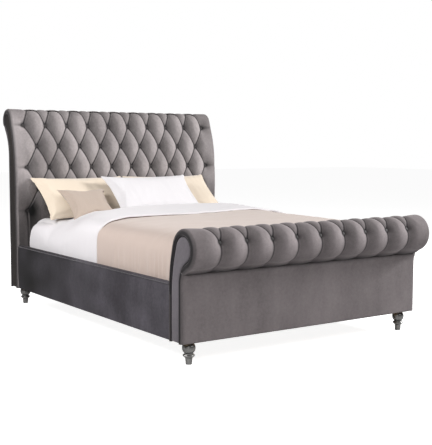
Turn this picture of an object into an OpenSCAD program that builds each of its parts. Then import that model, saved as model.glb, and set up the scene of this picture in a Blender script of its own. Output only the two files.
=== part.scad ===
/* [Mattress] */
// Width of the mattress
mattress_w = 1500; // [1400:10:1530]
// Length of the mattress
mattress_l = 2000; // [1900:10:2010]
// Thickness of the mattress
mattress_t = 230; // [200:5:240]

/* [Frame] */
// Width over the headboard and the footboard
board_w = 1700; // [1680:10:1760]
// Distance between the inner faces of the two boards
inner_l = 2020; // [2015:5:2100]
// Height of the underside of both boards
base_z = 120; // [115:1:125]
// Height of the top edge of the side rails
rail_top_z = 426; // [422:2:450]
// Width over the two side rails
rails_w = 1684; // [1680:2:1690]

/* [Headboard] */
// Thickness of the headboard's straight lower part
head_stem_t = 135; // [130:1:140]
// Height of the centre of the scrolled top
head_scroll_z = 1305; // [1250:5:1350]
// How far the scroll's centre lies behind the inner face
head_scroll_u = 157; // [150:1:165]
// Radius of the scroll
head_scroll_r = 80; // [76:1:84]

/* [Footboard] */
// Thickness of the footboard's straight lower part
foot_stem_t = 131; // [128:1:134]
// Height of the centre of the roll
foot_scroll_z = 607; // [595:1:620]
// How far the roll's centre lies outside the inner face
foot_scroll_u = 140; // [136:1:144]
// Radius of the roll
foot_scroll_r = 108; // [104:1:110]

/* [Tufting] */
// Distance between buttons in a row
tuft_pitch = 169; // [160:1:172]
// Distance between rows of buttons up the headboard
tuft_rise = 153.5; // [140:0.5:156]
// Depth of a button's well
well_depth = 25; // [16:1:25]
// Radius of a covered button
button_r = 11; // [8:0.5:12]

/* [Bedding] */
// Height of the top of the blanket
bed_top_z = 674; // [645:1:690]
// How much higher the duvet stands than the blanket
duvet_rise = 35; // [0:1:45]
// Where the white duvet ends and the blanket starts, from the footboard
fold_y = 1020; // [900:10:1200]

/* [Hidden] */
$fn = 64;

// A profile is [scroll u, scroll z, scroll r, sweep r, neck r, inner u, outer u],
// where u runs outwards from a board's inner face.
head_profile = [head_scroll_u, head_scroll_z, head_scroll_r, 1180, 300, 0, head_stem_t];
foot_profile = [foot_scroll_u, foot_scroll_z, foot_scroll_r, 860, 90, 0, foot_stem_t];
head_reach = head_scroll_u + head_scroll_r;
foot_reach = foot_scroll_u + foot_scroll_r;
foot_y = -(inner_l + head_reach - foot_reach) / 2;
head_y = foot_y + inner_l;
half_w = board_w / 2;
rail_x = rails_w / 2;

cover_t = 3;
face_stem = 26;
face_scroll = 38;
face_blend = 29;
skin_t = 6;
head_face = [head_scroll_u, head_scroll_z, head_scroll_r - face_scroll, 1180 - face_blend,
    300 + face_blend, face_stem, head_stem_t - face_stem];
foot_face = [foot_scroll_u, foot_scroll_z, foot_scroll_r - face_scroll, 860 - face_blend,
    90 + face_blend, face_stem, foot_stem_t - face_stem];
neck_seam_z = 475;

former_t = 18;
facing_t = 8;
former_x = half_w - 2 * facing_t - former_t;
former_mid_x = 260;
piping_t = 5;
post_w = 60;
post_x = former_x - post_w;
frame_u = face_stem + skin_t;
bottom_rail_h = 30;
head_post_top = 860;
foot_post_top = 345;
cross_h = 40;
head_cross_z = [300, 560, 820];
foot_cross_z = [300];

rail_t = 40;
rail_pad = 8;
rail_inner_x = rail_x - rail_t;
rail_bottom_z = 122;
slat_t = 18;
slat_w = 70;
slat_count = 14;
mattress_z = bed_top_z - 55 - mattress_t;
ledge_top = mattress_z - slat_t;
ledge_h = 40;
ledge_w = 30;
ledge_gap = 70;

bracket_t = 4;
bracket_w = 56;
bracket_z = [180, 300];
bolt_r = 4;
bolt_fit = 0.05;
bolt_z = [205, 275];
bolt_x = 780;
bolt_reach = 72;
rail_bolt_y = 36;
hanger_x = 36;
hanger_z = 320;

leg_x = 770;
head_leg_u = 58;
foot_leg_u = 76;
stud_r = 5;
stud_l = 24;

centre_w = 40;
centre_h = 60;
centre_leg_y = 400;
centre_leg_r = 20;
leg_bottom = 36;
glide_bore = 5;
glide_fit = 0.05;

well_r = button_r + 2.5;
head_first_row = 381;
head_rows = 5;
head_roll_row = 46;
// Radii of the timbers that carry the two rolls
head_roll_r = 28;
foot_roll_r = 45;
foot_row_front = 24;
foot_row_back = 142;

sheet_gap = 1;
side_t = 46;
side_bottom = 400;
duvet_end_y = 1468;
side_end_y = 1930;

velvet = "#77716f";
velvet_dark = "#5c5a60";
timber = "#d8b483";
ply = "#c79f6b";
foam = "#e6dfb8";
pewter = "#9a9894";
steel = "#b4b6b8";

// Points on a circle between two angles
function arc(c, r, a0, a1, n) =
    [for (i = [0:n]) let (a = a0 + (a1 - a0) * i / n) [c[0] + r * cos(a), c[1] + r * sin(a)]];
function tail(v) = [for (i = [1:len(v) - 1]) v[i]];
function flip(v) = [for (i = [len(v) - 1:-1:0]) v[i]];
function inset(p, d) = [p[0], p[1], p[2] - d, p[3] - d, p[4] + d, p[5] + d, p[6] - d];

// Heights where the sweep and the neck leave the straight stem
function sweep_z(p) = p[1] - sqrt(pow(p[3] - p[2], 2) - pow(p[5] + p[3] - p[0], 2));
function neck_z(p) = p[1] - sqrt(pow(p[2] + p[4], 2) - pow(p[6] + p[4] - p[0], 2));
function sweep_end(p) = atan2(p[1] - sweep_z(p), p[0] - p[5] - p[3]);
function neck_end(p) = atan2(neck_z(p) - p[1], p[6] + p[4] - p[0]);
function seam_angle(p, z) = 180 - asin((z - neck_z(p)) / p[4]);

// The three stretches of a profile: up the inner face, over the scroll, down the outer face
function front_line(p, z) =
    concat([[p[5], z]], arc([p[5] + p[3], sweep_z(p)], p[3], 180, sweep_end(p), 12));
function scroll_line(p) = arc([p[0], p[1]], p[2], sweep_end(p), neck_end(p), 28);
function neck_line(p, a1) = arc([p[6] + p[4], neck_z(p)], p[4], neck_end(p) + 180, a1, 8);
function rear_line(p, a0, z) =
    concat(arc([p[6] + p[4], neck_z(p)], p[4], a0, 180, 8), [[p[6], z]]);
function outline(p, z) = concat(front_line(p, z), tail(scroll_line(p)),
    tail(rear_line(p, neck_end(p) + 180, z)));

// A place on the tufted face, s along it from the foot of the sweep: [u, z, outward angle]
function on_sweep(p, s) = s < 0
    ? [p[5], sweep_z(p) + s, 180]
    : let (a = 180 - s / p[3] * 180 / PI) [p[5] + p[3] + p[3] * cos(a), sweep_z(p) + p[3] * sin(a), a];
function on_scroll(p, a) = [p[0] + p[2] * cos(a), p[1] + p[2] * sin(a), a];

// Buttons across a row: even rows have one on the centre line
function across(even) = even ? [for (i = [-4:4]) i * tuft_pitch]
    : [for (i = [-5:4]) (i + 0.5) * tuft_pitch];
head_tufts = concat(
    [for (x = across(true)) [x, on_scroll(head_profile, head_roll_row)]],
    [for (k = [0:head_rows - 1]) for (x = across(k % 2 == 1))
        [x, on_sweep(head_profile, head_first_row - k * tuft_rise)]]);
foot_tufts = concat(
    [for (x = across(true)) [x, on_scroll(foot_profile, foot_row_front)]],
    [for (x = across(false)) [x, on_scroll(foot_profile, foot_row_back)]]);

// Stands a board's shape in its place: the profile's plane is upright, facing along X
module at_head() { translate([0, head_y, 0]) children(); }
module at_foot() { translate([0, foot_y, 0]) mirror([0, 1, 0]) children(); }
module prism(x0, x1, pts) {
    translate([x0, 0, 0]) rotate([90, 0, 90]) linear_extrude(x1 - x0) polygon(pts);
}
module band(x, outer, inner) { prism(-x, x, concat(outer, flip(inner))); }
module block(lo, hi) { translate(lo) cube([hi[0] - lo[0], hi[1] - lo[1], hi[2] - lo[2]]); }
module both_x() {
    children();
    mirror([1, 0, 0]) children();
}

// Wells and buttons stand square to the tufted face, sunk by depth d
module at_tufts(tufts) {
    for (t = tufts) translate([t[0], t[1][0], t[1][1]]) rotate([t[1][2] - 90, 0, 0]) children();
}
module wells(tufts) {
    at_tufts(tufts) translate([0, 0, -well_depth]) cylinder(r = well_r, h = well_depth + 4);
}
module button() {
    base_h = 3;
    dome_h = 4;
    translate([0, 0, -well_depth]) rotate_extrude() polygon(concat([[0, 0], [button_r, 0]],
        [for (a = [0:15:90]) [button_r * cos(a), base_h + dome_h * sin(a)]]));
}

// Everything that is bolted through a board's inner face
module bolt_places() {
    both_x() for (z = bolt_z) translate([bolt_x, 0, z]) rotate([-90, 0, 0]) children();
    both_x() translate([hanger_x, 0, hanger_z]) rotate([-90, 0, 0]) children();
}
module bolt_holes() {
    bolt_places() translate([0, 0, -20]) cylinder(r = bolt_r + bolt_fit, h = 20 + bolt_reach + 1);
}
module rail_bolt_places() {
    both_x() for (z = bolt_z) for (y = [foot_y + rail_bolt_y, head_y - rail_bolt_y])
        translate([rail_inner_x - bracket_t, y, z]) rotate([0, 90, 0]) children();
}
module rail_bolt_holes() {
    rail_bolt_places() translate([0, 0, -2]) cylinder(r = bolt_r + bolt_fit, h = 2 + rail_t - 2);
}
module bolt(l) {
    translate([0, 0, -5]) cylinder(r = 7.5, h = 5, $fn = 6);
    cylinder(r = bolt_r, h = l);
}

// A board's parts, drawn for a profile p and the outline f of its side facing
module front_cover(p) {
    difference() {
        band(half_w, concat(front_line(p, base_z), tail(scroll_line(p))),
            concat(front_line(inset(p, cover_t), base_z), tail(scroll_line(inset(p, cover_t)))));
        bolt_holes();
    }
}
module foam_body(outer, f) {
    difference() {
        band(half_w, outer, outline(f, base_z));
        bolt_holes();
    }
}
module inner_board(f) {
    difference() {
        band(former_x + former_t, concat(front_line(f, base_z), tail(scroll_line(f))),
            concat(front_line(inset(f, skin_t), base_z), tail(scroll_line(inset(f, skin_t)))));
        bolt_holes();
    }
}
module outer_board(f) {
    band(former_x + former_t, rear_line(f, neck_end(f) + 180, base_z),
        rear_line(inset(f, skin_t), neck_end(inset(f, skin_t)) + 180, base_z));
}
module formers(f, stem_t, cross, roll_r) {
    g = inset(f, skin_t);
    both_x() prism(former_x, former_x + former_t, outline(g, base_z + bottom_rail_h));
    difference() {
        both_x() prism(former_mid_x - former_t / 2, former_mid_x + former_t / 2,
            outline(g, base_z + bottom_rail_h));
        for (z = cross) block([-post_x, -1, z], [post_x, stem_t + 1, z + cross_h]);
        translate([-half_w, f[0], f[1]]) rotate([0, 90, 0]) cylinder(r = roll_r, h = board_w);
    }
}
module posts(stem_t, top) {
    difference() {
        both_x() block([post_x, frame_u, base_z + bottom_rail_h], [former_x, stem_t - frame_u, top]);
        bolt_holes();
    }
}
module cross_rails(stem_t, cross) {
    difference() {
        for (z = cross) block([-post_x, frame_u, z], [post_x, stem_t - frame_u, z + cross_h]);
        bolt_holes();
    }
}
module roll_rail(f, r) {
    translate([-former_x, f[0], f[1]]) rotate([0, 90, 0]) difference() {
        cylinder(r = r, h = 2 * former_x);
        translate([0, 0, -1]) cylinder(r = r - 5, h = 2 * former_x + 2);
    }
}
module bottom_rail(stem_t, leg_u) {
    difference() {
        block([-former_x - former_t, frame_u, base_z],
            [former_x + former_t, stem_t - frame_u, base_z + bottom_rail_h]);
        both_x() translate([leg_x, leg_u, base_z - 1])
            cylinder(r = stud_r + bolt_fit, h = stud_l + 2);
    }
}
module facing(f) {
    x = half_w - 2 * facing_t;
    prism(x, x + facing_t, outline(f, base_z));
    prism(x + facing_t, half_w, outline(inset(f, piping_t), base_z));
}
module piping(f) {
    x = half_w - facing_t;
    both_x() prism(x, half_w - 2, concat(outline(f, base_z), flip(outline(inset(f, piping_t), base_z))));
}

module headboard_front_cover() {
    color(velvet) at_head() difference() {
        front_cover(head_profile);
        wells(head_tufts);
    }
}
module headboard_back_cover() {
    q = inset(head_profile, cover_t);
    color(velvet) at_head() band(half_w, rear_line(head_profile, neck_end(head_profile) + 180, base_z),
        rear_line(q, neck_end(q) + 180, base_z));
}
module headboard_foam() {
    color(foam) at_head() difference() {
        foam_body(outline(inset(head_profile, cover_t), base_z), head_face);
        wells(head_tufts);
    }
}
module headboard_front_board() { color(ply) at_head() inner_board(head_face); }
module headboard_back_board() { color(ply) at_head() outer_board(head_face); }
module headboard_formers() {
    color(ply) at_head() formers(head_face, head_stem_t, head_cross_z, head_roll_r);
}
module headboard_posts() { color(timber) at_head() posts(head_stem_t, head_post_top); }
module headboard_cross_rails() { color(timber) at_head() cross_rails(head_stem_t, head_cross_z); }
module headboard_roll_rail() { color(timber) at_head() roll_rail(head_face, head_roll_r); }
module headboard_bottom_rail() { color(timber) at_head() bottom_rail(head_stem_t, head_leg_u); }
module headboard_facing_left() { color(velvet) at_head() mirror([1, 0, 0]) facing(head_face); }
module headboard_facing_right() { color(velvet) at_head() facing(head_face); }
module headboard_piping() { color(velvet_dark) at_head() piping(head_face); }
module headboard_buttons() { color(velvet_dark) at_head() at_tufts(head_tufts) button(); }

// The footboard's roll cover ends at the seam in the neck, and the outer panel starts there
module footboard_roll_cover() {
    p = foot_profile;
    q = inset(p, cover_t);
    z = sweep_z(p);
    color(velvet) at_foot() difference() {
        band(half_w,
            concat(front_line(p, z - 1), tail(scroll_line(p)), tail(neck_line(p, seam_angle(p, neck_seam_z)))),
            concat(front_line(q, z - 1), tail(scroll_line(q)), tail(neck_line(q, seam_angle(p, neck_seam_z)))));
        wells(foot_tufts);
    }
}
module footboard_outer_cover() {
    p = foot_profile;
    color(velvet) at_foot() band(half_w, rear_line(p, seam_angle(p, neck_seam_z), base_z),
        rear_line(inset(p, cover_t), seam_angle(p, neck_seam_z), base_z));
}
module footboard_inner_cover() {
    color(velvet) at_foot() difference() {
        block([-half_w, 0, base_z], [half_w, cover_t, sweep_z(foot_profile) - 1]);
        bolt_holes();
    }
}
module footboard_foam() {
    q = inset(foot_profile, cover_t);
    seam = seam_angle(foot_profile, neck_seam_z);
    color(foam) at_foot() difference() {
        foam_body(concat(front_line(q, base_z), tail(scroll_line(q)), tail(neck_line(q, seam)),
            tail(rear_line(q, seam, base_z))), foot_face);
        wells(foot_tufts);
    }
}
module footboard_inner_board() { color(ply) at_foot() inner_board(foot_face); }
module footboard_outer_board() { color(ply) at_foot() outer_board(foot_face); }
module footboard_formers() {
    color(ply) at_foot() formers(foot_face, foot_stem_t, foot_cross_z, foot_roll_r);
}
module footboard_posts() { color(timber) at_foot() posts(foot_stem_t, foot_post_top); }
module footboard_cross_rail() { color(timber) at_foot() cross_rails(foot_stem_t, foot_cross_z); }
module footboard_roll_rail() { color(timber) at_foot() roll_rail(foot_face, foot_roll_r); }
module footboard_bottom_rail() { color(timber) at_foot() bottom_rail(foot_stem_t, foot_leg_u); }
module footboard_facing_left() { color(velvet_dark) at_foot() mirror([1, 0, 0]) facing(foot_face); }
module footboard_facing_right() { color(velvet_dark) at_foot() facing(foot_face); }
module footboard_piping() { color(velvet_dark) at_foot() piping(foot_face); }
module footboard_buttons() { color(steel) at_foot() at_tufts(foot_tufts) button(); }

// A turned foot: a tapered toe, a collar, a ball and a stud into the board
module turned_foot() {
    ball_z = 87;
    rotate_extrude() polygon(concat([[0, 0], [16.5, 0], [19, 34], [27, 41]],
        arc([26, 47.5], 5.5, -70, 70, 6), [[24, 56], [24, 60]],
        [for (a = [-62:12.4:62]) [35.5 * pow(cos(a), 0.6), ball_z + 29.5 * sin(a)]],
        [[26, 116], [26, base_z], [stud_r, base_z], [stud_r, base_z + stud_l], [0, base_z + stud_l]]));
}
module foot_head_left() { color(pewter) translate([-leg_x, head_y + head_leg_u, 0]) turned_foot(); }
module foot_head_right() { color(pewter) translate([leg_x, head_y + head_leg_u, 0]) turned_foot(); }
module foot_end_left() { color(pewter) translate([-leg_x, foot_y - foot_leg_u, 0]) turned_foot(); }
module foot_end_right() { color(pewter) translate([leg_x, foot_y - foot_leg_u, 0]) turned_foot(); }

// A padded side rail: the board inside, and its cover all round
module rail_board() {
    difference() {
        block([rail_inner_x + rail_pad, foot_y, rail_bottom_z + rail_pad],
            [rail_x - rail_pad, head_y, rail_top_z - rail_pad]);
        rail_bolt_holes();
    }
}
module rail_cover() {
    difference() {
        block([rail_inner_x, foot_y, rail_bottom_z], [rail_x, head_y, rail_top_z]);
        block([rail_inner_x + rail_pad, foot_y - 1, rail_bottom_z + rail_pad],
            [rail_x - rail_pad, head_y + 1, rail_top_z - rail_pad]);
        rail_bolt_holes();
    }
}
module side_rail_board_left() { color(timber) mirror([1, 0, 0]) rail_board(); }
module side_rail_board_right() { color(timber) rail_board(); }
module side_rail_cover_left() { color(velvet_dark) mirror([1, 0, 0]) rail_cover(); }
module side_rail_cover_right() { color(velvet_dark) rail_cover(); }
module side_rail_piping() {
    color(velvet) both_x() translate([rail_x + 2.5, foot_y, rail_top_z - 8]) rotate([-90, 0, 0])
        cylinder(r = 2.5, h = inner_l, $fn = 16);
}
module slat_ledges() {
    color(timber) both_x() block([rail_inner_x - ledge_w, foot_y + ledge_gap, ledge_top - ledge_h],
        [rail_inner_x, head_y - ledge_gap, ledge_top]);
}

// Angle brackets in the four corners, bolted to the posts and to the rails
module corner_bracket() {
    x = rail_inner_x;
    block([x - bracket_w, 0, bracket_z[0]], [x, bracket_t, bracket_z[1]]);
    block([x - bracket_t, 0, bracket_z[0]], [x, bracket_w, bracket_z[1]]);
}
module corner_brackets() {
    color(steel) difference() {
        both_x() {
            translate([0, foot_y, 0]) corner_bracket();
            translate([0, head_y, 0]) mirror([0, 1, 0]) corner_bracket();
        }
        at_head() bolt_holes();
        at_foot() bolt_holes();
        rail_bolt_holes();
    }
}
module bed_bolts() {
    color(pewter) {
        at_head() bolt_places() translate([0, 0, -bracket_t]) bolt(bolt_reach);
        at_foot() bolt_places() translate([0, 0, -bracket_t]) bolt(bolt_reach);
        rail_bolt_places() bolt(bracket_t + rail_t - rail_pad - 2);
    }
}

// The centre rail hangs in two saddles and stands on two legs with levelling glides
module centre_rail() {
    color(timber) block([-centre_w / 2, foot_y + bracket_t, ledge_top - centre_h],
        [centre_w / 2, head_y - bracket_t, ledge_top]);
}
module hanger() {
    w = centre_w / 2;
    z = ledge_top - centre_h;
    difference() {
        union() {
            block([-hanger_x - 14, -bracket_t, z - bracket_t], [hanger_x + 14, 0, ledge_top]);
            both_x() block([w, -50, z - bracket_t], [w + bracket_t, -bracket_t, ledge_top]);
            block([-w, -50, z - bracket_t], [w, -bracket_t, z]);
        }
        bolt_holes();
    }
}
module centre_rail_hangers() {
    color(steel) {
        at_head() hanger();
        at_foot() hanger();
    }
}
module slats() {
    y0 = foot_y + ledge_gap + 20;
    pitch = (inner_l - 2 * ledge_gap - 40 - slat_w) / (slat_count - 1);
    color(timber) for (i = [0:slat_count - 1])
        translate([0, y0 + i * pitch, ledge_top])
            block([-rail_inner_x + 4, 0, 0], [rail_inner_x - 4, slat_w, slat_t]);
}
module centre_legs() {
    color(timber) for (y = [-centre_leg_y, centre_leg_y]) translate([0, y, leg_bottom]) difference() {
        cylinder(r = centre_leg_r, h = ledge_top - centre_h - leg_bottom);
        translate([0, 0, -1]) cylinder(r = glide_bore, h = 45);
    }
}
module glide_pad() {
    difference() {
        union() {
            cylinder(r = 22, h = 6);
            cylinder(r = 11, h = 14);
        }
        translate([0, 0, 4]) cylinder(r = 6 + glide_fit, h = 12);
    }
}
module glide_stem() {
    translate([0, 0, 4]) cylinder(r = 6, h = 11);
    translate([0, 0, 15]) cylinder(r = 9.5, h = 7, $fn = 6);
    translate([0, 0, 21]) cylinder(r = glide_bore - glide_fit, h = 39);
}
module glide_pad_head() { color("dimgray") translate([0, centre_leg_y, 0]) glide_pad(); }
module glide_stem_head() { color(steel) translate([0, centre_leg_y, 0]) glide_stem(); }
module glide_pad_foot() { color("dimgray") translate([0, -centre_leg_y, 0]) glide_pad(); }
module glide_stem_foot() { color(steel) translate([0, -centre_leg_y, 0]) glide_stem(); }

// Bedding: the mattress, and covers that hang over its sides inside the rails
module mattress() {
    r = 70;
    w = mattress_w / 2 - r;
    l = mattress_l / 2 - r;
    color("white") translate([0, (foot_y + head_y) / 2, mattress_z]) linear_extrude(mattress_t)
        polygon(concat(arc([w, l], r, 0, 90, 8), arc([-w, l], r, 90, 180, 8),
            arc([-w, -l], r, 180, 270, 8), arc([w, -l], r, 270, 360, 8)));
}
// The cross-section of a cover over the mattress, with rounded shoulders
module drape(y0, y1, top) {
    x = mattress_w / 2 + side_t;
    r = 50;
    translate([0, foot_y + y1, 0]) rotate([90, 0, 0]) linear_extrude(y1 - y0) difference() {
        polygon(concat([[x, side_bottom]], arc([x - r, top - r], r, 0, 90, 8),
            arc([r - x, top - r], r, 90, 180, 8), [[-x, side_bottom]]));
        translate([-mattress_w / 2, 0]) square([mattress_w, mattress_z + mattress_t]);
    }
}
module blanket() { color("#d3c3b8") drape(14, fold_y - sheet_gap / 2, bed_top_z); }
module duvet() {
    color("#efecef") {
        drape(fold_y + sheet_gap / 2, duvet_end_y, bed_top_z + duvet_rise);
        drape(duvet_end_y, side_end_y, mattress_z + mattress_t);
    }
}
// A pillow leans on the headboard: its lower edge rests on the mattress
module pillow(w, h, t, lean) {
    edge_r = 12;
    rotate([lean, 0, 0]) translate([0, h / 2 - edge_r, 0]) hull() {
        for (x = [-1, 1]) for (y = [-1, 1]) {
            translate([x * (w / 2 - edge_r), y * (h / 2 - edge_r), 0]) sphere(r = edge_r, $fn = 16);
            translate([x * w * 0.24, y * h * 0.2, 0]) sphere(r = t / 2, $fn = 24);
        }
    }
}
module on_mattress(x, y) { translate([x, foot_y + y, mattress_z + mattress_t + 14]) children(); }
module pillow_back_left() {
    color("#e9d8bf") on_mattress(-388, 1680) pillow(720, 440, 126, 38.7);
}
module pillow_back_right() {
    color("#e9d8bf") on_mattress(348, 1680) pillow(720, 440, 126, 38.7);
}
module pillow_front_left() {
    color("#cdbcab") on_mattress(-490, 1502) pillow(350, 330, 90, 37);
}
module pillow_front_middle() {
    color("#f6f3f4") on_mattress(52, 1494) pillow(700, 420, 110, 40);
}

headboard_front_cover();
headboard_back_cover();
headboard_foam();
headboard_front_board();
headboard_back_board();
headboard_formers();
headboard_posts();
headboard_cross_rails();
headboard_roll_rail();
headboard_bottom_rail();
headboard_facing_left();
headboard_facing_right();
headboard_piping();
headboard_buttons();
footboard_roll_cover();
footboard_outer_cover();
footboard_inner_cover();
footboard_foam();
footboard_inner_board();
footboard_outer_board();
footboard_formers();
footboard_posts();
footboard_cross_rail();
footboard_roll_rail();
footboard_bottom_rail();
footboard_facing_left();
footboard_facing_right();
footboard_piping();
footboard_buttons();
foot_head_left();
foot_head_right();
foot_end_left();
foot_end_right();
side_rail_board_left();
side_rail_board_right();
side_rail_cover_left();
side_rail_cover_right();
side_rail_piping();
slat_ledges();
corner_brackets();
bed_bolts();
centre_rail();
centre_rail_hangers();
slats();
centre_legs();
glide_pad_head();
glide_stem_head();
glide_pad_foot();
glide_stem_foot();
mattress();
blanket();
duvet();
pillow_back_left();
pillow_back_right();
pillow_front_left();
pillow_front_middle();
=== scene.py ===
import math

import bmesh
import bpy
import numpy as np
from mathutils import Matrix, Vector, noise


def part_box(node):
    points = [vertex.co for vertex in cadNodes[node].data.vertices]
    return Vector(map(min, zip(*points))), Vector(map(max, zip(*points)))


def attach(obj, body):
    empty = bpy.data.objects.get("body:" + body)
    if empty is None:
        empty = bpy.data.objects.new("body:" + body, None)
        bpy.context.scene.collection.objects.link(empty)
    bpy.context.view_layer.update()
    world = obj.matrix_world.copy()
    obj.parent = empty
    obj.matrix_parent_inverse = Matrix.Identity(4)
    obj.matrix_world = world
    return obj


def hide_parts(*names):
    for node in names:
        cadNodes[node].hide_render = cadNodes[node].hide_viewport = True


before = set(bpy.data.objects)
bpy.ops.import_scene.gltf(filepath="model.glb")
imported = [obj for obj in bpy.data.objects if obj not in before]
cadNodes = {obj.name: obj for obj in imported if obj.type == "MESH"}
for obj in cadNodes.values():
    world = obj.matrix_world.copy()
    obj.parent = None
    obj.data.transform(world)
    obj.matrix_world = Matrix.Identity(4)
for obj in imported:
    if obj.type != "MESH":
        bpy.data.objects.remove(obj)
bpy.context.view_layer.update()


print("frame loaded:", len(cadNodes), "nodes")

# Where the bed stands, read from the frame
railLow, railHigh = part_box("side_rail_board_left")
headY = railHigh.y                                  # inner face of the headboard
footY = railLow.y                                   # inner face of the footboard
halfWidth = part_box("headboard_foam")[1].x
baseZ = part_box("headboard_foam")[0].z

# Camera, lights and floor
view = {
    "place": (-3.219, -4.8505, 1.132),
    "pitch": 85.0,
    "turn": -34.77,
    "roll": -0.17,
    "lens": 71.25,
}


def addCamera():
    data = bpy.data.cameras.new("viewCamera")
    data.lens = view["lens"]
    data.sensor_width = 36
    camera = bpy.data.objects.new("viewCamera", data)
    camera.location = view["place"]
    camera.rotation_euler = [math.radians(view[k]) for k in ("pitch", "roll", "turn")]
    bpy.context.scene.collection.objects.link(camera)
    bpy.context.scene.camera = camera


lamps = [
    {"name": "keyLight", "at": (5.2, -2.4, 2.9), "aim": (0, 0.4, 0.8), "size": 1.3, "power": 440},
    {"name": "leftLight", "at": (-3.0, -0.1, 2.4), "aim": (-0.4, 0.1, 0.5), "size": 1.2, "power": 102},
    {"name": "fillLight", "at": (-2.9, -3.2, 2.0), "aim": (-0.4, -0.2, 0.5), "size": 1.2, "power": 40},
    {"name": "frontLight", "at": (1.4, -5.4, 4.0), "aim": (0, 0, 0.5), "size": 1.8, "power": 95},
    {"name": "backLight", "at": (1.0, 4.8, 2.2), "aim": (0, 1.0, 0.7), "size": 2.0, "power": 70},
]


def addLights():
    for lamp in lamps:
        data = bpy.data.lights.new(lamp["name"], "AREA")
        data.shape = "SQUARE"
        data.size = lamp["size"]
        data.energy = lamp["power"]
        light = bpy.data.objects.new(lamp["name"], data)
        light.location = lamp["at"]
        aim = Vector(lamp["aim"]) - Vector(lamp["at"])
        light.rotation_euler = aim.to_track_quat("-Z", "Y").to_euler()
        bpy.context.scene.collection.objects.link(light)
    world = bpy.data.worlds.new("studioWorld")
    bpy.context.scene.world = world
    world.use_nodes = True
    tree = world.node_tree
    sky = tree.nodes["Background"]
    sky.inputs["Color"].default_value = (1, 1, 1, 1)
    seen = tree.nodes.new("ShaderNodeLightPath")
    strength = tree.nodes.new("ShaderNodeMapRange")       # white behind the bed, softer as light
    strength.inputs["To Min"].default_value = 0.10
    strength.inputs["To Max"].default_value = 1.0
    tree.links.new(seen.outputs["Is Camera Ray"], strength.inputs["Value"])
    tree.links.new(strength.outputs["Result"], sky.inputs["Strength"])
    bpy.context.scene.view_settings.view_transform = "Standard"


def addFloor():
    bpy.ops.object.select_all(action="DESELECT")
    bpy.ops.mesh.primitive_plane_add(size=60, location=(0, 0, 0))
    floor = bpy.context.object
    floor.name = "floor"
    paint = bpy.data.materials.new("floorPaint")
    paint.use_nodes = True
    shader = paint.node_tree.nodes["Principled BSDF"]
    shader.inputs["Base Color"].default_value = (0.6, 0.6, 0.6, 1)
    shader.inputs["Roughness"].default_value = 0.9
    shader.inputs["Emission Color"].default_value = (1, 1, 1, 1)
    seen = paint.node_tree.nodes.new("ShaderNodeLightPath")
    glow = mathNode(paint.node_tree, "MULTIPLY", seen.outputs["Is Camera Ray"], 0.9)
    paint.node_tree.links.new(glow, shader.inputs["Emission Strength"])
    floor.data.materials.append(paint)



# Steps that the materials share
def newGroup(name, inputs, outputs):
    group = bpy.data.node_groups.new(name, "ShaderNodeTree")
    for label, kind, value in inputs:
        socket = group.interface.new_socket(label, in_out="INPUT", socket_type=kind)
        if value is not None:
            socket.default_value = value
    for label, kind in outputs:
        group.interface.new_socket(label, in_out="OUTPUT", socket_type=kind)
    return group, group.nodes.new("NodeGroupInput"), group.nodes.new("NodeGroupOutput")


def mathNode(tree, kind, a, b=0.0):
    node = tree.nodes.new("ShaderNodeMath")
    node.operation = kind
    for socket, value in zip(node.inputs, (a, b)):
        if isinstance(value, (int, float)):
            socket.default_value = value
        else:
            tree.links.new(value, socket)
    return node.outputs[0]


def weighted(tree, parts, clamp=False):
    # The sum of several values, each times its own weight
    total = mathNode(tree, "MULTIPLY", *parts[0])
    for value, weight in parts[1:]:
        total = mathNode(tree, "ADD", total, mathNode(tree, "MULTIPLY", value, weight))
    total.node.use_clamp = clamp
    return total


def noiseNode(tree, vector, scale, detail=3.0, rough=0.55):
    node = tree.nodes.new("ShaderNodeTexNoise")
    tree.links.new(vector, node.inputs["Vector"])
    if isinstance(scale, (int, float)):
        node.inputs["Scale"].default_value = scale
    else:
        tree.links.new(scale, node.inputs["Scale"])
    node.inputs["Detail"].default_value = detail
    node.inputs["Roughness"].default_value = rough
    return node.outputs["Fac"]


def mixColour(tree, factor, a, b, kind="MIX"):
    node = tree.nodes.new("ShaderNodeMix")
    node.data_type = "RGBA"
    node.blend_type = kind
    for socket, value in ((node.inputs[0], factor), (node.inputs[6], a), (node.inputs[7], b)):
        if isinstance(value, (int, float, tuple)):
            socket.default_value = value
        else:
            tree.links.new(value, socket)
    return node.outputs[2]


def objectCoords(tree):
    return tree.nodes.new("ShaderNodeTexCoord").outputs["Object"]


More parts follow.
